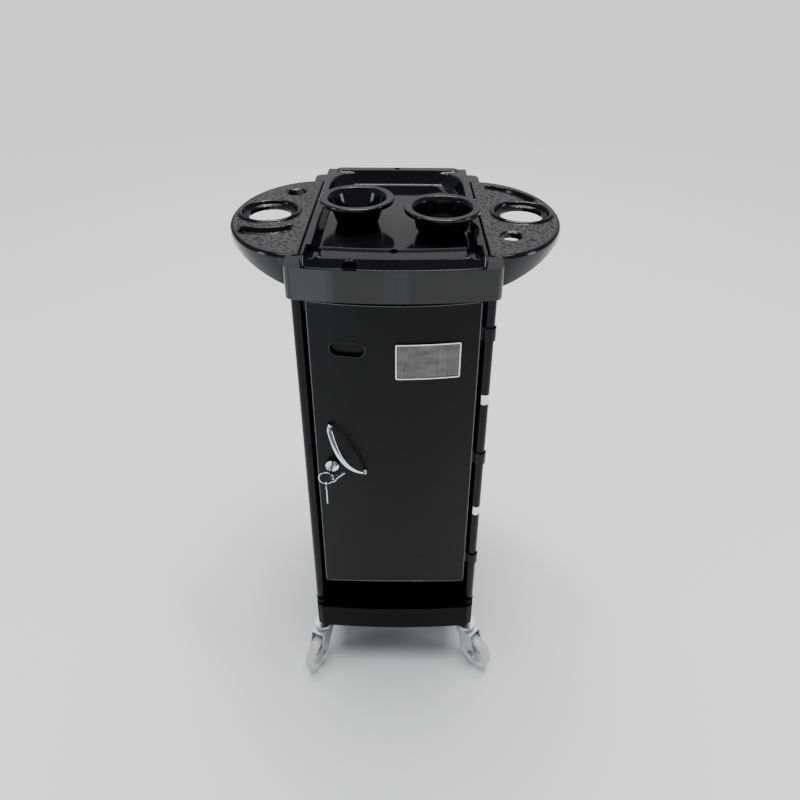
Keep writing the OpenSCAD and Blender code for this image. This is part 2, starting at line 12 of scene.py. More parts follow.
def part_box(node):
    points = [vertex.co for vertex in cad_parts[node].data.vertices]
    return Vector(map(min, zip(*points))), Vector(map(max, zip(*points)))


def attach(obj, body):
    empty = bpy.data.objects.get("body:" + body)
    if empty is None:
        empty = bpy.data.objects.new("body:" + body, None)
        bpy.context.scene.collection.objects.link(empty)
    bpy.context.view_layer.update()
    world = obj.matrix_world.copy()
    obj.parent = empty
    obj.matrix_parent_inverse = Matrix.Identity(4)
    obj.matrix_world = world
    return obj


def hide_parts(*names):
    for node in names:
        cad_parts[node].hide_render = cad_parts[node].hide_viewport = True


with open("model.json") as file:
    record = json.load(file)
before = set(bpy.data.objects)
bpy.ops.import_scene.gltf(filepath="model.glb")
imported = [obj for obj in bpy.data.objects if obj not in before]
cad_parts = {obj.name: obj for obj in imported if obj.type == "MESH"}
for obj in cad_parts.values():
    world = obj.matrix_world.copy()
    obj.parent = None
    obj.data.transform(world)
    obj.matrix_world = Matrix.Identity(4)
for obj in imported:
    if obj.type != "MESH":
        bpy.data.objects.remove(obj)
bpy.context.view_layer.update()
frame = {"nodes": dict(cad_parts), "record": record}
MM = 0.001


# ---- camera, lights and floor ----


def make_camera():
    data = bpy.data.cameras.new("camera")
    data.lens = 29.12
    data.shift_x = -0.0061
    data.shift_y = -0.131
    cam = bpy.data.objects.new("camera", data)
    bpy.context.collection.objects.link(cam)
    pitch = Matrix.Rotation(math.radians(90 - 28.54), 4, "X")
    roll = Matrix.Rotation(math.radians(0.35), 4, "Z")
    cam.matrix_world = Matrix.Translation((0.0165, -1.039, 1.334)) @ pitch @ roll
    bpy.context.scene.camera = cam


def area_light(name, place, aim, size_x, size_y, radiance, colour=(1, 1, 1)):
    """A softbox; radiance is how bright its face looks, and the camera doesn't see the box itself."""
    data = bpy.data.lights.new(name, "AREA")
    data.shape = "RECTANGLE"
    data.size = size_x
    data.size_y = size_y
    data.energy = radiance * math.pi * size_x * size_y
    data.color = colour
    lamp = bpy.data.objects.new(name, data)
    bpy.context.collection.objects.link(lamp)
    lamp.location = place
    lamp.rotation_euler = (Vector(aim) - Vector(place)).to_track_quat("-Z", "Y").to_euler()
    lamp.visible_camera = False


def make_stage():
    world = bpy.data.worlds.new("studio")
    world.use_nodes = True
    background = world.node_tree.nodes["Background"]
    background.inputs["Color"].default_value = (0.95, 0.97, 1.0, 1)
    background.inputs["Strength"].default_value = 0.18
    bpy.context.scene.world = world
    sun = bpy.data.lights.new("sky", "SUN")
    sun.energy = 3.4
    sun.angle = math.radians(50)
    lamp = bpy.data.objects.new("sky", sun)
    bpy.context.collection.objects.link(lamp)
    lamp.rotation_euler = (math.radians(-8), 0, 0)
    centre = (0, 0, 0.85)
    area_light("overhead_strip", (0.1, 0.1, 3.0), centre, 1.6, 0.16, 30)
    area_light("back_window", (0.2, 3.0, 2.3), centre, 3.6, 1.7, 0.45, (1.0, 0.96, 0.98))
    area_light("left_window", (-2.4, -0.9, 1.2), centre, 0.5, 1.4, 5.0, (0.80, 0.88, 1.0))
    area_light("right_window", (2.4, -0.6, 1.2), centre, 0.5, 1.4, 5.0, (0.90, 0.94, 1.0))
    area_light("apron_strip_wide", (0.05, -1.75, 0.42), (0.05, 0, 0.42), 0.09, 0.8, 0.5, (0.85, 0.92, 1.0))
    area_light("apron_strip_thin", (-0.08, -1.75, 0.42), (0.0, 0, 0.42), 0.05, 0.8, 0.45, (0.85, 0.92, 1.0))
    area_light("door_panel_low", (-0.85, -1.5, 0.2), (-0.1, 0, 0.5), 0.6, 0.6, 1.0, (0.80, 0.87, 1.0))
    bpy.ops.mesh.primitive_plane_add(size=60, location=(0, 0, 0))
    floor = bpy.context.object
    floor.name = "floor"
    mat, shader, nodes, links = new_material("floor_pale")
    shader.inputs["Base Color"].default_value = (0.95, 0.95, 0.95, 1)
    shader.inputs["Roughness"].default_value = 0.8
    shader.inputs["Specular IOR Level"].default_value = 0.1
    floor.data.materials.append(mat)


# ---- materials ----


def new_material(name):
    mat = bpy.data.materials.new(name)
    mat.use_nodes = True
    nodes = mat.node_tree.nodes
    return mat, nodes["Principled BSDF"], nodes, mat.node_tree.links


def noise(nodes, links, scale, detail=3.0, stretch=(1, 1, 1)):
    """A noise texture in object space; scale is in cycles per metre."""
    place = nodes.new("ShaderNodeTexCoord")
    mapping = nodes.new("ShaderNodeMapping")
    mapping.inputs["Scale"].default_value = stretch
    texture = nodes.new("ShaderNodeTexNoise")
    texture.inputs["Scale"].default_value = scale
    texture.inputs["Detail"].default_value = detail
    links.new(place.outputs["Object"], mapping.inputs["Vector"])
    links.new(mapping.outputs["Vector"], texture.inputs["Vector"])
    return texture


def vary(nodes, links, source, socket, low, high):
    """Runs a texture's value through a range into a float socket."""
    spread = nodes.new("ShaderNodeMapRange")
    spread.inputs["From Min"].default_value = 0.3
    spread.inputs["From Max"].default_value = 0.7
    spread.inputs["To Min"].default_value = low
    spread.inputs["To Max"].default_value = high
    links.new(source, spread.inputs["Value"])
    links.new(spread.outputs["Result"], socket)


def tint(nodes, links, source, socket, dark, light):
    """Mixes two colours by a texture's value."""
    ramp = nodes.new("ShaderNodeValToRGB")
    ramp.color_ramp.elements[0].position = 0.35
    ramp.color_ramp.elements[0].color = (*dark, 1)
    ramp.color_ramp.elements[1].position = 0.65
    ramp.color_ramp.elements[1].color = (*light, 1)
    links.new(source, ramp.inputs["Fac"])
    links.new(ramp.outputs["Color"], socket)


def relief(nodes, links, shader, source, distance, strength=1.0):
    bump = nodes.new("ShaderNodeBump")
    bump.inputs["Distance"].default_value = distance
    bump.inputs["Strength"].default_value = strength
    links.new(source, bump.inputs["Height"])
    links.new(bump.outputs["Normal"], shader.inputs["Normal"])


def plastic(name, dark, light, rough, grain, depth, spec=0.5):
    """Moulded plastic: grain is the surface texture's frequency, depth its height in metres."""
    mat, shader, nodes, links = new_material(name)
    cloud = noise(nodes, links, 18, 4)
    fine = noise(nodes, links, grain, 2)
    tint(nodes, links, cloud.outputs["Fac"], shader.inputs["Base Color"], dark, light)
    vary(nodes, links, cloud.outputs["Fac"], shader.inputs["Roughness"], rough[0], rough[1])
    relief(nodes, links, shader, fine.outputs["Fac"], depth)
    shader.inputs["Specular IOR Level"].default_value = spec
    return mat


def pebble(name, gloss, dark, light, rough):
    """Moulded plastic: attribute grain says where it is pebbled and a second attribute how deep a pebble gap
    lies; there the colour runs from light grey on the pebble tops to black in the gaps, painted light and
    shade on the pebbling.
    """
    mat, shader, nodes, links = new_material(name)
    mask = nodes.new("ShaderNodeAttribute")
    mask.attribute_name = "grain"
    pit_shade = nodes.new("ShaderNodeAttribute")
    pit_shade.attribute_name = "pit_shade"
    # painted light and shade: light grey pebble tops, black in the gaps between them
    pebbled = nodes.new("ShaderNodeMixRGB")
    pebbled.inputs["Color1"].default_value = (*light, 1)
    pebbled.inputs["Color2"].default_value = (*dark, 1)
    links.new(pit_shade.outputs["Fac"], pebbled.inputs["Fac"])
    blend = nodes.new("ShaderNodeMixRGB")
    blend.inputs["Color1"].default_value = (*gloss, 1)
    links.new(mask.outputs["Fac"], blend.inputs["Fac"])
    links.new(pebbled.outputs["Color"], blend.inputs["Color2"])
    links.new(blend.outputs["Color"], shader.inputs["Base Color"])
    vary_by_mask(nodes, links, mask.outputs["Fac"], shader.inputs["Roughness"], rough)
    fine = noise(nodes, links, 900, 3)
    height = nodes.new("ShaderNodeMath")
    height.operation = "MULTIPLY"
    links.new(fine.outputs["Fac"], height.inputs[0])
    links.new(mask.outputs["Fac"], height.inputs[1])
    relief(nodes, links, shader, height.outputs["Value"], 0.0003)
    shader.inputs["Specular IOR Level"].default_value = 0.36
    return mat


def vary_by_mask(nodes, links, source, socket, ends):
    """Runs a 0 to 1 mask into a float socket; ends are the values at 0 and 1."""
    spread = nodes.new("ShaderNodeMapRange")
    spread.inputs["To Min"].default_value = ends[0]
    spread.inputs["To Max"].default_value = ends[1]
    links.new(source, spread.inputs["Value"])
    links.new(spread.outputs["Result"], socket)


def metal(name, colour, rough, stretch=(1, 1, 1), scale=900, depth=0.00001):
    mat, shader, nodes, links = new_material(name)
    brushed = noise(nodes, links, scale, 3, stretch)
    cloud = noise(nodes, links, 40, 3)
    shader.inputs["Metallic"].default_value = 1.0
    dark = tuple(c * 0.86 for c in colour)
    tint(nodes, links, cloud.outputs["Fac"], shader.inputs["Base Color"], dark, colour)
    vary(nodes, links, brushed.outputs["Fac"], shader.inputs["Roughness"], rough[0], rough[1])
    relief(nodes, links, shader, brushed.outputs["Fac"], depth)
    return mat


def clear_grey(name):
    """Translucent polyurethane, milky and smooth."""
    mat, shader, nodes, links = new_material(name)
    cloud = noise(nodes, links, 60, 3)
    colour = shader.inputs["Base Color"]
    tint(nodes, links, cloud.outputs["Fac"], colour, (0.86, 0.86, 0.84), (0.96, 0.96, 0.94))
    vary(nodes, links, cloud.outputs["Fac"], shader.inputs["Roughness"], 0.14, 0.24)
    relief(nodes, links, shader, cloud.outputs["Fac"], 0.0002, 0.3)
    shader.inputs["Transmission Weight"].default_value = 0.45
    shader.inputs["IOR"].default_value = 1.46
    return mat


# Blacks by use: name, dark and light colours, roughness range, grain, depth, specular level
BLACK = {
    "frame": plastic(
        "gloss_black", (0.004, 0.004, 0.005), (0.007, 0.007, 0.008),
        (0.07, 0.13), 300, 0.00002, 0.42),
    # the wing's pebbled area is painted light grey on the pebble tops and black in the gaps: painted light
    # and shade
    "wing": pebble(
        "wing_black", (0.004, 0.004, 0.005), (0.004, 0.004, 0.004), (0.050, 0.048, 0.049),
        (0.10, 0.38)),
    "sleeve": plastic(
        "sleeve_black", (0.004, 0.004, 0.005), (0.008, 0.008, 0.009),
        (0.16, 0.24), 1500, 0.00004, 0.14),
    "door": plastic(
        "panel_black", (0.003, 0.003, 0.0035), (0.004, 0.004, 0.0045),
        (0.26, 0.36), 2600, 0.00002, 0.13),
    # the door's rolled edge is painted lighter grey than the door: a painted highlight along the edge
    "edge": plastic(
        "panel_edge_painted_highlight", (0.060, 0.060, 0.066), (0.080, 0.080, 0.088),
        (0.20, 0.30), 1500, 0.00002, 0.8),
    "inner": plastic(
        "inner_plastic", (0.006, 0.006, 0.007), (0.010, 0.010, 0.011),
        (0.4, 0.5), 1800, 0.00006, 0.3),
    "bowl": plastic(
        "bowl_black", (0.003, 0.003, 0.004), (0.006, 0.006, 0.007),
        (0.06, 0.12), 300, 0.00002, 0.5),
    "base": plastic(
        "base_black", (0.002, 0.002, 0.002), (0.003, 0.003, 0.003),
        (0.16, 0.24), 900, 0.00003, 0.05),
}
CHROME = metal("chrome", (0.80, 0.81, 0.83), (0.06, 0.14))
STEEL = metal("bright_steel", (0.70, 0.71, 0.73), (0.22, 0.36), (1, 1, 0.08), 1400)
SATIN_STEEL = metal("satin_steel", (0.62, 0.63, 0.65), (0.30, 0.42), (0.05, 1, 1), 1600)
WHEEL = clear_grey("wheel_grey")
CARD = plastic("card_grey", (0.085, 0.080, 0.078), (0.125, 0.120, 0.115), (0.5, 0.6), 1200, 0.00004)
KEY_BLACK = plastic("key_black", (0.015, 0.015, 0.016), (0.022, 0.022, 0.024), (0.3, 0.4), 1500, 0.00005)


def window_material():
    """Clear plastic over the card, a little streaked."""
    mat, shader, nodes, links = new_material("clear_window")
    streak = noise(nodes, links, 30, 3, (1, 1, 3))
    colour = shader.inputs["Base Color"]
    tint(nodes, links, streak.outputs["Fac"], colour, (0.20, 0.19, 0.19), (0.34, 0.33, 0.32))
    vary(nodes, links, streak.outputs["Fac"], shader.inputs["Roughness"], 0.10, 0.20)
    shader.inputs["Alpha"].default_value = 0.45
    return mat


WINDOW = window_material()

# ---- mesh tools ----


def add_object(name, bm, sharp_angle=40):
    """Turns bm into a smooth-shaded object with sharp edges over the angle in degrees."""
    bmesh.ops.recalc_face_normals(bm, faces=bm.faces)
    mesh = bpy.data.meshes.new(name)
    bm.to_mesh(mesh)
    bm.free()
    obj = bpy.data.objects.new(name, mesh)
    bpy.context.collection.objects.link(obj)
    for face in mesh.polygons:
        face.use_smooth = True
    mesh.set_sharp_from_angle(angle=math.radians(sharp_angle))
    return obj


def finish_piece(obj, body, slot_name, material, *nodes):
    """Gives a piece its looks, its body and the CAD nodes that it replaces."""
    obj.data.materials.append(material)
    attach(obj, body)
    if nodes:
        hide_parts(*nodes)


def add_bevel(obj, width):
    bevel = obj.modifiers.new("soft_edges", "BEVEL")
    bevel.width = width
    bevel.segments = 3
    bevel.limit_method = "ANGLE"
    bevel.angle_limit = math.radians(35)
    bevel.harden_normals = False
    weighted = obj.modifiers.new("normals", "WEIGHTED_NORMAL")
    weighted.keep_sharp = True


def bridge(bm, loop_a, loop_b, closed=True):
    """Fills the strip between two rows of as many vertices."""
    count = len(loop_a)
    for i in range(count if closed else count - 1):
        j = (i + 1) % count
        bm.faces.new((loop_a[i], loop_a[j], loop_b[j], loop_b[i]))


def lathe(profile, segments, matrix):
    """A closed solid of revolution about Z from (radius, height) points; radius 0 ends meet on the axis."""
    bm = bmesh.new()
    rings = []
    for r, z in profile:
        if r < 1e-7:
            rings.append([bm.verts.new((0, 0, z))])
            continue
        turn = [2 * math.pi * i / segments for i in range(segments)]
        rings.append([bm.verts.new((r * math.cos(t), r * math.sin(t), z)) for t in turn])
    closed = rings[0] if len(rings[0]) > 1 else None
    pairs = list(zip(rings, rings[1:]))
    if closed:
        pairs.append((rings[-1], rings[0]))
    for a, b in pairs:
        if len(a) == 1 and len(b) == 1:
            continue
        if len(a) == 1 or len(b) == 1:
            tip, ring = (a[0], b) if len(a) == 1 else (b[0], a)
            for i in range(segments):
                bm.faces.new((tip, ring[i], ring[(i + 1) % segments]))
        else:
            bridge(bm, a, b)
    bmesh.ops.transform(bm, matrix=matrix, verts=bm.verts)
    return bm


def rounded(points, radius, steps):
    """The same outline with each corner replaced by a short arc-like curve."""
    out = []
    count = len(points)
    for i, p in enumerate(points):
        if i in (0, count - 1):
            out.append(p)
            continue
        a, b, c = Vector(points[i - 1]), Vector(p), Vector(points[i + 1])
        cut = min(radius, (a - b).length * 0.45, (c - b).length * 0.45)
        start, end = b + (a - b).normalized() * cut, b + (c - b).normalized() * cut
        for k in range(steps + 1):
            t = k / steps
            q = start * (1 - t) ** 2 + b * 2 * t * (1 - t) + end * t * t
            out.append(tuple(q))
    return out


def smoothstep(low, high, value):
    t = min(1.0, max(0.0, (value - low) / (high - low)))
    return t * t * (3 - 2 * t)


def mix(a, b, t):
    return a + (b - a) * t


def spaced(stops):
    """Values along a line; stops are (value, step up to the next value)."""
    out = []
    for (value, step), (following, _) in zip(stops, stops[1:]):
        count = max(1, round((following - value) / step))
        out += [value + (following - value) * i / count for i in range(count)]
    out.append(stops[-1][0])
    return out


def fill_between(bm, top, low):
    """Closes the solid between an upper and a lower grid of vertices."""
    for grid in (top, low):
        for a, b in zip(grid, grid[1:]):
            bridge(bm, a, b, closed=False)
    bridge(bm, top[0], low[0], closed=False)
    bridge(bm, top[-1], low[-1], closed=False)
    for end in (0, -1):
        bridge(bm, [row[end] for row in top], [row[end] for row in low], closed=False)


def join(bm, other):
    """Moves the mesh of other into bm."""
    mesh = bpy.data.meshes.new("join")
    other.to_mesh(mesh)
    other.free()
    bm.from_mesh(mesh)
    bpy.data.meshes.remove(mesh)


def boolean_cut(obj, cutter_bm):
    """Cuts a solid out of obj and applies the cut."""
    cutter = add_object("cutter", cutter_bm)
    cut = obj.modifiers.new("cut", "BOOLEAN")
    cut.object = cutter
    cut.solver = "EXACT"
    depsgraph = bpy.context.evaluated_depsgraph_get()
    mesh = bpy.data.meshes.new_from_object(obj.evaluated_get(depsgraph))
    obj.modifiers.remove(cut)
    obj.data = mesh
    bpy.data.objects.remove(cutter)
    for face in mesh.polygons:
        face.use_smooth = True
    mesh.set_sharp_from_angle(angle=math.radians(40))


# ---- top tray ----
TRAY_HALF = 137 * MM
TRAY_REAR = 207 * MM
FRAME_TOP = 928 * MM
TRAY_FLOOR = 918.4 * MM
TRAY_LENGTH = 426
HOLE_R = 5.5 * MM
FRONT_HOLE_Y = -185 * MM
REAR_HOLE_Y = 198.5 * MM


def tray_front(x):
    """The tray's front edge where it meets the frame: bowed, with round corners."""
    corner = 12 * MM
    edge = -219 * MM + 12 * MM * (x / TRAY_HALF) ** 2
    over = abs(x) - (TRAY_HALF - corner)
    if over > 0:
        edge += corner - math.sqrt(max(0.0, corner * corner - over * over))
    return edge


def tray_height(x, y):
    """The height of the tray's upper face."""
    ax = abs(x)
    side_lip, ridge, crest = 941 * MM, 936.5 * MM, 942.5 * MM
    # walls of the well: a rounded rectangle's distance
    half_x, half_y, mid_y = 123 * MM, 181 * MM, 8 * MM
    radius = 16 * MM if y < mid_y else 64 * MM
    foot = -6 * MM if y < 100 * MM else -mix(6, 11, smoothstep(100 * MM, 150 * MM, y)) * MM
    qx, qy = ax - half_x + radius, abs(y - mid_y) - half_y + radius
    outside = math.hypot(max(qx, 0), max(qy, 0)) + min(max(qx, qy), 0) - radius
    rear_rise = 7 * MM * smoothstep(184 * MM, 190 * MM, y) * (1 - smoothstep(103 * MM, 121 * MM, ax))
    lip = side_lip + rear_rise
    z = mix(TRAY_FLOOR, lip, smoothstep(foot, 1 * MM, outside))
    # the broad front slope, from the ridge down to the floor
    inward = y - tray_front(x)
    if inward < 70 * MM:
        slope = mix(ridge, crest, min(1.0, max(0.0, (inward / MM - 8) / 30)))
        slope = mix(slope, TRAY_FLOOR, smoothstep(41 * MM, 70 * MM, inward))
        z = mix(max(z, slope), z, smoothstep(108 * MM, 126 * MM, ax))
    # round scoops in the front corners
    dx = ax - 118.5 * MM
    dy = y + 193.5 * MM
    if dy < 0:
        scoop = math.hypot(dx, dy) - 12.5 * MM
    else:
        scoop = abs(dx) - 12.5 * MM
    if y < -160 * MM:
        z = mix(min(z, 929.5 * MM), z, smoothstep(-6.0 * MM, 1.0 * MM, scoop))
        if dy < 0:
            z += 1.4 * MM * math.exp(-(((scoop / MM - 1.5) / 1.6) ** 2))
    # outer faces
    front_face = smoothstep(0, 9 * MM, inward)
    z = min(z, mix(FRAME_TOP, 944 * MM, front_face ** 0.8) + 0.2 * MM)
    side_face = smoothstep(0, 3 * MM, TRAY_HALF - ax)
    z = min(z, mix(936 * MM, 949 * MM, side_face))
    rear_face = smoothstep(0, 3 * MM, TRAY_REAR - y)
    return min(z, mix(943 * MM, 949 * MM, rear_face))


def make_top_tray():
    """The tray insert: rows along Y, closer together where it curves."""
    xs = spaced([(-137, 0.8), (-128, 1.2), (-100, 6), (100, 1.2), (128, 0.8), (137, 1)])
    xs = [x * MM for x in xs]
    steps = spaced([(0, 1.0), (60, 7), (395, 1.2), (TRAY_LENGTH, 1)])
    bm = bmesh.new()
    top, low = [], []
    for x in xs:
        start = tray_front(x)
        scale = (TRAY_REAR - start) / (TRAY_LENGTH * MM)
        row_top, row_low = [], []
        for s in steps:
            y = start + s * MM * scale
            z = tray_height(x, y)
            row_top.append(bm.verts.new((x, y, z)))
            row_low.append(bm.verts.new((x, y, min(FRAME_TOP + 0.2 * MM, z - 2.5 * MM))))
        top.append(row_top)
        low.append(row_low)
    fill_between(bm, top, low)
    tray = add_object("tray_dished_top", bm, 60)
    for y, flare_z in ((FRONT_HOLE_Y, 0.937), (REAR_HOLE_Y, 0.9445)):
        hole = [(0, 0.90), (HOLE_R, 0.90), (HOLE_R, flare_z), (9 * MM, 0.96), (0, 0.96)]
        boolean_cut(tray, lathe(hole, 48, Matrix.Translation((0, y, 0))))
    boolean_cut(tray, arch_cutter())
    finish_piece(tray, "cart_body", "gloss_black", BLACK["frame"], "top_tray")


def arch_cutter():
    """A round-topped plug through the tray's front lip, over the frame."""
    bm = bmesh.new()
    radius, mid_x, spring = 10.5 * MM, -62.5 * MM, 930.5 * MM
    turns = [math.pi * i / 20 for i in range(21)]
    outline = [(mid_x + radius, 0.92)]
    outline += [(mid_x + radius * math.cos(t), spring + radius * math.sin(t)) for t in turns]
    outline.append((mid_x - radius, 0.92))
    near = [bm.verts.new((x, -0.230, z)) for x, z in outline]
    far = [bm.verts.new((x, -0.207, z)) for x, z in outline]
    bridge(bm, near, far)
    bm.faces.new(near)
    bm.faces.new(list(reversed(far)))
    return bm


# ---- wings ----
WING_ROOT = 143 * MM
WING_REACH = 134 * MM
WING_HALF = 173 * MM
WING_CLIP = 169.4 * MM
WING_MID_Y = -2 * MM
WING_TOP = 929 * MM
RING_LOCAL = (72.5 * MM, 6 * MM)
SMALL_X = 41.5 * MM
EDGE_ROUND = 5 * MM
RING_BORE = 36
SMALL_BORE = 16
BEAD_MID = 49.2
BEAD_HALF = 4.6
NO_SLOT = (-9.0, 0.5)


def ring_relief(r):
    """Height round a holder ring in mm: a thick bead, a hollow inside it and a rounded throat."""
    bead = 3.4 * math.sqrt(max(0.0, 1 - ((r - BEAD_MID) / BEAD_HALF) ** 2))
    if r > BEAD_MID:
        return bead
    hollow = -5.0 * smoothstep(BEAD_MID, 42.0, r) if r > 42 else -5.0
    lip = 1.6 * smoothstep(42.0, 39.6, r) - 3.0 * smoothstep(38.6, 35.6, r)
    return bead + hollow + lip + 1.0 * smoothstep(BEAD_MID, 46, r)


def slot_relief(inside, across):
    """Height in a blind slot in mm, from how far inside it a point is and where across it."""
    depth = -8.0 * smoothstep(-0.5, 3.0, inside)
    rib = 4.6 * math.exp(-(((across - 0.5) / 0.10) ** 2)) * smoothstep(2.0, 5.0, inside)
    lip = 0.9 * math.exp(-(((inside + 1.4) / 1.3) ** 2))
    return depth + rib + lip


def rounded_box_inside(u, v, half_u, half_v, radius):
    """How far a point is inside a rounded box, in the same unit."""
    qu, qv = abs(u) - half_u + radius, abs(v) - half_v + radius
    return -(math.hypot(max(qu, 0), max(qv, 0)) + min(max(qu, qv), 0) - radius)


def left_slot(x, y):
    """The slot in front of the left ring, following the ring's curve."""
    dx, dy = (x - RING_LOCAL[0]) / MM, (y - RING_LOCAL[1]) / MM
    r = math.hypot(dx, dy)
    if dy > 0 or not 60 < r < 115:
        return NO_SLOT
    return rounded_box_inside(dx + 6.5, r - 87, 41.5, 12, 7), (r - 75) / 24


def right_slot(x, y):
    """The groove along the right wing's rear edge."""
    if x < 10 * MM or y < 40 * MM:
        return NO_SLOT
    u, v = x / (122 * MM), y / (149 * MM)
    scale = math.hypot(u, v)
    turn = math.atan2(v, u)
    reach = math.hypot(122 * math.cos(turn), 149 * math.sin(turn))
    depth_in = (1 - scale) * reach * 0.93
    along = (math.degrees(turn) - 52.5) * 2.2
    return rounded_box_inside(along, depth_in - 9, 56, 9.4, 6), depth_in / 18


def pebble_pit(x, y):
    """How deep a point lies in the gaps between pebbles, 0 to 1."""
    broad = mathutils_noise.noise(Vector((x, y, 0.3)) / (4.6 * MM))
    fine = mathutils_noise.noise(Vector((x, y, 0.7)) / (2.3 * MM))
    return smoothstep(0.02, 0.26, broad + 0.45 * fine)


def make_wing(name, node, sign, small_y, slot):
    """A wing from a fan of rows round its root, then bored, skirted and collared."""
    turns, rings = 270, 130
    bm = bmesh.new()
    grain = bm.verts.layers.float.new("grain")
    # gap depth kept for the colour: painted shade in the gaps between pebbles
    pit_shade = bm.verts.layers.float.new("pit_shade")
    top, low = [], []
    for i in range(turns + 1):
        theta = math.radians(-90 + 180 * i / turns)
        span = math.hypot(WING_REACH * math.cos(theta), WING_HALF * math.sin(theta))
        row_top, row_low = [], []
        for k in range(rings + 1):
            rho = (0.004 + 0.996 * (k / rings) ** 0.9) if k else 0.004
            x = WING_REACH * rho * math.cos(theta)
            y = max(-WING_CLIP, min(WING_CLIP, WING_HALF * rho * math.sin(theta)))
            edge = (1 - rho) * span
            r = math.hypot(x - RING_LOCAL[0], y - RING_LOCAL[1]) / MM
            small = math.hypot(x - SMALL_X, y - small_y) / MM
            inside, across = slot(x, y)
            z = 0.0
            if r < 54:
                z = ring_relief(r)
            elif inside > -6:
                z = slot_relief(inside, across)
            if small < 20:
                z -= 2.4 * (1 - smoothstep(15.5, 19, small))
            mask = smoothstep(54.5, 56.5, r) * smoothstep(2.5, 4, -inside) * smoothstep(18.5, 20, small)
            mask *= smoothstep(5.5, 8, edge / MM) * smoothstep(1.5, 3, x / MM)
            depth = pebble_pit(x, y) if mask > 0 else 0.0
            z -= 0.5 * depth * mask
            if edge < EDGE_ROUND:
                z -= (EDGE_ROUND - math.sqrt(max(0.0, EDGE_ROUND**2 - (EDGE_ROUND - edge) ** 2))) / MM
            if x < 1.2 * MM:
                z -= 0.8 * (1 - x / (1.2 * MM))
            spot = (sign * (WING_ROOT + x), y + WING_MID_Y)
            vert = bm.verts.new((*spot, WING_TOP + z * MM))
            vert[grain] = mask
            vert[pit_shade] = depth
            row_top.append(vert)
            under = min(-4.5, z - 2.5 if edge > 4 * MM else -5.2)
            row_low.append(bm.verts.new((*spot, WING_TOP + under * MM)))
        top.append(row_top)
        low.append(row_low)
    fill_between(bm, top, low)
    bm.faces.new([top[0][0], low[0][0], low[-1][0], top[-1][0]])
    wing = add_object(name, bm, 50)
    bores = [(sign * (WING_ROOT + RING_LOCAL[0]), RING_LOCAL[1] + WING_MID_Y, RING_BORE),
             (sign * (WING_ROOT + SMALL_X), small_y + WING_MID_Y, SMALL_BORE)]
    for x, y, r in bores:
        plug = [(0, 0.90), (r * MM, 0.90), (r * MM, 0.94), (0, 0.94)]
        boolean_cut(wing, lathe(plug, 96, Matrix.Translation((x, y, 0))))
    bm = bmesh.new()
    bm.from_mesh(wing.data)
    add_skirt(bm, sign)
    for x, y, r in bores:
        collar = [(r, -11), (r + 3, -11), (r + 3.4, -10.4), (r + 3.4, -5), (r, -4.6)]
        collar = [(a * MM, WING_TOP + b * MM) for a, b in collar]
        join(bm, lathe(collar, 96, Matrix.Translation((x, y, 0))))
    bmesh.ops.recalc_face_normals(bm, faces=bm.faces)
    bm.to_mesh(wing.data)
    bm.free()
    for face in wing.data.polygons:
        face.use_smooth = True
    wing.data.set_sharp_from_angle(angle=math.radians(50))
    finish_piece(wing, "cart_body", "wing_black", BLACK["wing"], node)


def skirt_low(x):
    """The skirt's lower edge under the wing's top, x from the root."""
    return -(53 - 37 * min(1.0, max(0.0, (x / MM - 15) / 93))) * MM


def add_skirt(bm, sign):
    """The wing's hanging wall and the plate along its root."""
    wall, count = 3.5 * MM, 120
    loops = [[], [], [], [], []]
    for i in range(count + 1):
        theta = math.radians(-90 + 180 * i / count)
        out = Vector((WING_REACH * math.cos(theta), WING_HALF * math.sin(theta)))
        inn = Vector(((WING_REACH - wall) * math.cos(theta), (WING_HALF - wall) * math.sin(theta)))
        out.y = max(-WING_CLIP, min(WING_CLIP, out.y))
        inn.y = max(-WING_CLIP + wall, min(WING_CLIP - wall, inn.y))
        low = skirt_low(out.x)
        section = [(out, -4.9 * MM), (out, low + 0.8 * MM), (out * 0.997, low), (inn, low),
                   (inn, -4.0 * MM)]
        for loop, (p, z) in zip(loops, section):
            spot = (sign * (WING_ROOT + p.x), p.y + WING_MID_Y, WING_TOP + z)
            loop.append(bm.verts.new(spot))
    for a, b in zip(loops, loops[1:] + loops[:1]):
        bridge(bm, a, b, closed=False)
    bm.faces.new([loop[0] for loop in loops])
    bm.faces.new([loop[-1] for loop in loops])
    half = WING_CLIP - 1 * MM
    root = [(0.05 * MM, -53 * MM), (wall, -53 * MM), (wall, -4 * MM), (0.05 * MM, -4 * MM)]
    ends = []
    for y in (-half, half):
        corners = [(sign * (WING_ROOT + x), y + WING_MID_Y, WING_TOP + z) for x, z in root]
        ends.append([bm.verts.new(corner) for corner in corners])
    bridge(bm, *ends)
    bm.faces.new(ends[0])
    bm.faces.new(ends[1])


# ---- the rolled edge round the door ----


def closed_tube(points, radius):
    """A round bar along a closed line of points in metres."""
    bm = bmesh.new()
    loops = []
    count, sides = len(points), 12
    turns = [2 * math.pi * k / sides for k in range(sides)]
    for i, p in enumerate(points):
        along = (Vector(points[(i + 1) % count]) - Vector(points[i - 1])).normalized()
        side = along.cross(Vector((0, 1, 0))).normalized()
        lift = side.cross(along)
        ring = [Vector(p) + (side * math.cos(t) + lift * math.sin(t)) * radius for t in turns]
        loops.append([bm.verts.new(spot) for spot in ring])
    for a, b in zip(loops, loops[1:]):
        bridge(bm, a, b)
    bridge(bm, loops[-1], loops[0])
    return bm


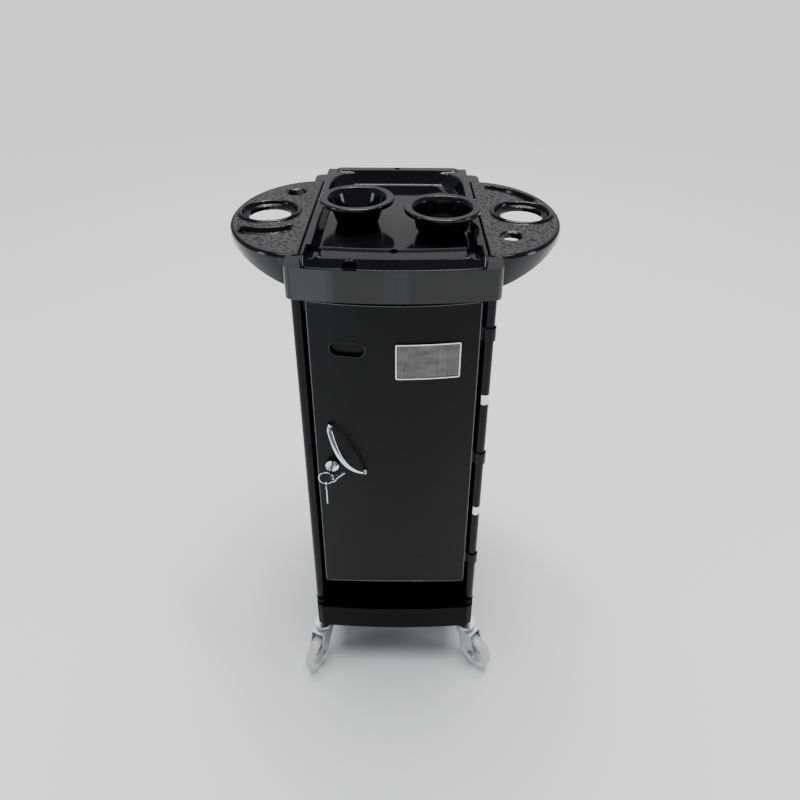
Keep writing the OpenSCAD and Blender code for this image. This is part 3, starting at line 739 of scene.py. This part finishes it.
def make_door_edge():
    """The thin rolled edge round the door, arched at the bottom, painted lighter grey than the door as a
    painted highlight.
    """
    low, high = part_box("door_panel")
    half, arch = 133.3, 16.0
    arch_half = 129.0
    radius = (arch_half**2 + arch**2) / (2 * arch)
    top_z, low_z = high[2] / MM - 0.7, low[2] / MM + 0.7
    path = []
    for i in range(41):
        x = mix(-half, half, i / 40)
        path.append((x, top_z))
    path += [(half, mix(top_z, low_z, i / 30)) for i in range(1, 30)]
    for i in range(41):
        x = mix(half, -half, i / 40)
        rise = arch - radius + math.sqrt(radius**2 - x * x) if abs(x) < arch_half else 0.0
        path.append((x, low_z + rise))
    path += [(-half, mix(low_z, top_z, i / 30)) for i in range(1, 30)]
    points = [(x * MM, (door_y(x) + 0.15) * MM, z * MM) for x, z in path]
    edge = add_object("door_rolled_edge", closed_tube(points, 1.0 * MM), 60)
    finish_piece(edge, "door", "panel_black", BLACK["edge"])


def make_grip_edge():
    """The rolled edge of the finger grip, two half rounds joined by straights."""
    rim = []
    mid_x, mid_z, reach, round_r = -73.0, 780.5, 15.0, 13.0
    for side in (1, -1):
        for i in range(25):
            t = math.pi * (0.5 * side - i / 24)
            rim.append((mid_x + side * reach + round_r * math.cos(t), mid_z + round_r * math.sin(t)))
    points = [(x * MM, (door_y(x) + 0.1) * MM, z * MM) for x, z in rim]
    lip = add_object("grip_rolled_edge", closed_tube(points, 0.9 * MM), 60)
    finish_piece(lip, "door", "panel_black", BLACK["frame"])


# ---- bowls ----


def make_bowl(name, node, centre, outer, inner, body, h):
    """Outer and inner are (radius, height) walls on either side of the rim; h is the bowl's height."""
    rim = [(50.3, 2.6), (57.5, 2.6), (59.6, 4.6), (60.2, 7), (61.6, 7.2), (62.2, 5), (61.9, 1.4),
           (60.4, 0), (49.8, 0.5), (48.4, 2)]
    rim = [(r * MM, h - drop * MM) for r, drop in rim]
    profile = rounded([(0, 0)] + outer + rim + inner + [(0, 2.8 * MM)], 1.2 * MM, 5)
    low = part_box(node)[0][2]
    bm = lathe(profile, 128, Matrix.Translation((centre[0], centre[1], low)))
    obj = add_object(name, bm, 50)
    finish_piece(obj, body, "gloss_black", BLACK["bowl"], node)


def box_mid(node):
    low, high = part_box(node)
    return [(a + b) / 2 for a, b in zip(low, high)]


def make_bowls():
    """The left bowl is a cone and the right one is round below."""
    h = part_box("bowl_left")[1][2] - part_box("bowl_left")[0][2]
    outer = [(33.5 * MM, 0), (35 * MM, 2 * MM), (47.5 * MM, h - 6 * MM)]
    inner = [(45.2 * MM, h - 7 * MM), (32.6 * MM, 4.5 * MM), (31 * MM, 2.8 * MM)]
    make_bowl("bowl_cone", "bowl_left", box_mid("bowl_left"), outer, inner, "left_bowl", h)
    turns = [math.radians(10 * i) for i in range(1, 9)]
    belly = [(30 * MM + 15 * MM * math.sin(t), 24 * MM - 24 * MM * math.cos(t)) for t in turns]
    back = reversed(turns)
    hollow = [(27.6 * MM + 15 * MM * math.sin(t), 26.8 * MM - 24 * MM * math.cos(t)) for t in back]
    outer = [(29 * MM, 0)] + belly + [(47.5 * MM, h - 5 * MM)]
    inner = [(45.6 * MM, h - 6 * MM)] + hollow
    make_bowl("bowl_round", "bowl_right", box_mid("bowl_right"), outer, inner, "right_bowl", h)


# ---- bow handle ----
HANDLE_ENDS = ((-109, 628), (-49, 531))
HANDLE_STAND = 24
DOOR_MID_Y = -203.5
DOOR_RADIUS = 587.0


def door_y(x):
    """The door's front face in mm."""
    return DOOR_MID_Y + DOOR_RADIUS - math.sqrt(DOOR_RADIUS**2 - x * x)


def make_handle():
    """The bow, thicker at its upper end, and its two feet."""
    (ax, az), (bx, bz) = HANDLE_ENDS
    bm = bmesh.new()
    rings = []
    count, sides = 48, 20
    along = Vector((bx - ax, 0, bz - az)).normalized()
    sideways = Vector((-along.z, 0, along.x))
    for i in range(count + 1):
        t = i / count
        x, z = mix(ax, bx, t), mix(az, bz, t)
        lift = max(0.0, math.sin(math.pi * t)) ** 0.8
        bend = -7.0 * math.sin(math.pi * t)
        y = mix(door_y(ax), door_y(bx), t) - 3.0 - HANDLE_STAND * lift
        mid = Vector((x, y, z)) + sideways * bend
        thick = mix(4.6, 2.0, t ** 1.3) if t < 0.94 else mix(2.2, 1.0, (t - 0.94) / 0.06)
        wide = mix(5.2, 2.6, t ** 1.3) if t < 0.94 else mix(2.6, 1.0, (t - 0.94) / 0.06)
        if t < 0.05:
            thick, wide = mix(3.2, 4.6, t / 0.05), mix(3.6, 5.2, t / 0.05)
        rings.append((mid, thick, wide))
    loops = []
    for i, (mid, thick, wide) in enumerate(rings):
        ahead = rings[min(i + 1, count)][0] - rings[max(i - 1, 0)][0]
        ahead.normalize()
        u = sideways - ahead * sideways.dot(ahead)
        u.normalize()
        v = ahead.cross(u)
        loop = []
        for k in range(sides):
            a = 2 * math.pi * k / sides
            loop.append(bm.verts.new((mid + u * wide * math.cos(a) + v * thick * math.sin(a)) * MM))
        loops.append(loop)
    for a, b in zip(loops, loops[1:]):
        bridge(bm, a, b)
    bm.faces.new(loops[0])
    bm.faces.new(list(reversed(loops[-1])))
    for x, z, r in ((ax + 2, az - 3, 4.2), (bx - 1.5, bz + 2.5, 3.2)):
        foot = [(0, 0), (r, 0), (r, 3.4), (r - 0.8, 4.4), (0, 4.4)]
        place = Matrix.Translation((x * MM, (door_y(x) - 0.02) * MM, z * MM))
        place = place @ Matrix.Rotation(math.pi / 2, 4, "X")
        join(bm, lathe([(a * MM, b * MM) for a, b in foot], 32, place))
    obj = add_object("pull_bow", bm, 50)
    finish_piece(obj, "door", "chrome", CHROME, "pull_handle")


# ---- caster wheels ----


def joint(name):
    return next(j for j in frame["record"]["behaviour"]["joints"] if j["name"] == name)


def make_wheel(place):
    """A caster's tread and ribbed hub about its own axle."""
    turn = joint(place + "_wheel_spin")
    axis = Vector(turn["axis"]).normalized()
    matrix = Matrix.Translation(turn["pos_m"]) @ axis.to_track_quat("Z", "X").to_matrix().to_4x4()
    half = [(23, 8.2), (25.5, 8.6), (27.5, 9.8), (31.5, 10.3), (34.6, 9.2), (36.4, 7.0), (37.2, 4.0)]
    tread = [(r, -z) for r, z in half] + [(37.5, 0)] + half[::-1]
    bm = lathe([(r * MM, z * MM) for r, z in tread], 96, matrix)
    tyre = add_object("tread_" + place, bm, 50)
    finish_piece(tyre, place + "_wheel", "wheel_grey", WHEEL, "wheel_" + place)
    half = [(4.06, 12), (7.6, 12), (8.4, 11), (8.8, 6.4), (12, 5.2), (20, 5.2), (22.4, 7.4), (23, 8.1)]
    hub = [(r, -z) for r, z in half] + half[::-1]
    bm = lathe([(r * MM, z * MM) for r, z in hub], 96, matrix)
    for k in range(6):
        spin = Matrix.Rotation(math.pi * k / 3, 4, "Z")
        place_rib = matrix @ spin @ Matrix.Translation((15.5 * MM, 0, 0))
        size = Matrix.Diagonal((13 * MM, 2.4 * MM, 13.4 * MM, 1))
        rib = bmesh.ops.create_cube(bm, size=1, matrix=place_rib @ size)
        edges = list({e for v in rib["verts"] for e in v.link_edges})
        bmesh.ops.bevel(bm, geom=edges, offset=0.6 * MM, segments=2, affect="EDGES")
    core = add_object("hub_" + place, bm, 40)
    finish_piece(core, place + "_wheel", "wheel_grey", WHEEL)


# ---- the CAD nodes that stay ----
# Edge rounding in mm and black by node
SOFT = {
    "top_frame": (2.0, "frame"), "base_tray": (2.4, "base"),
    "hinge_post_sleeves": (0.4, "sleeve"), "plain_post_sleeves": (0.4, "sleeve"),
    "back_panel": (0.5, "inner"),
    "side_panel_left": (0.5, "inner"), "side_panel_right": (0.5, "inner"), "hinge_clips": (0.7, "sleeve"),
    "inner_tray_1": (1.0, "inner"), "inner_tray_2": (1.0, "inner"), "inner_tray_3": (1.0, "inner"),
    "inner_tray_4": (1.0, "inner"), "inner_tray_5": (1.0, "inner"), "door_panel": (0.8, "door")}


def dress_cad():
    """Materials and softened edges for every CAD node that no piece replaces."""
    for name, obj in frame["nodes"].items():
        width, material = SOFT.get(name, (0.4, None))
        if material:
            material = BLACK[material]
        elif name == "card_insert":
            material = CARD
        elif name == "card_window":
            material = WINDOW
        elif name == "lock_key":
            material = KEY_BLACK
        elif name == "runner_rails":
            # the runner rails take the black inner plastic so the gaps beside the door read dark: painted
            # shade inside the cabinet
            material = BLACK["inner"]
        elif name.startswith("post_") or name in ("key_ring", "lock_body", "card_frame"):
            material = CHROME
        elif name.startswith("fork_"):
            material = SATIN_STEEL
        else:
            material = STEEL
        for holder in obj.material_slots:
            holder.material = material
        add_bevel(obj, width * MM)


make_camera()
make_stage()
make_top_tray()
make_wing("wing_shell_left", "wing_left", -1, 106 * MM, left_slot)
make_wing("wing_shell_right", "wing_right", 1, -93 * MM, right_slot)
make_bowls()
make_door_edge()
make_grip_edge()
make_handle()
for where in ("front_left", "front_right", "rear_left", "rear_right"):
    make_wheel(where)
dress_cad()
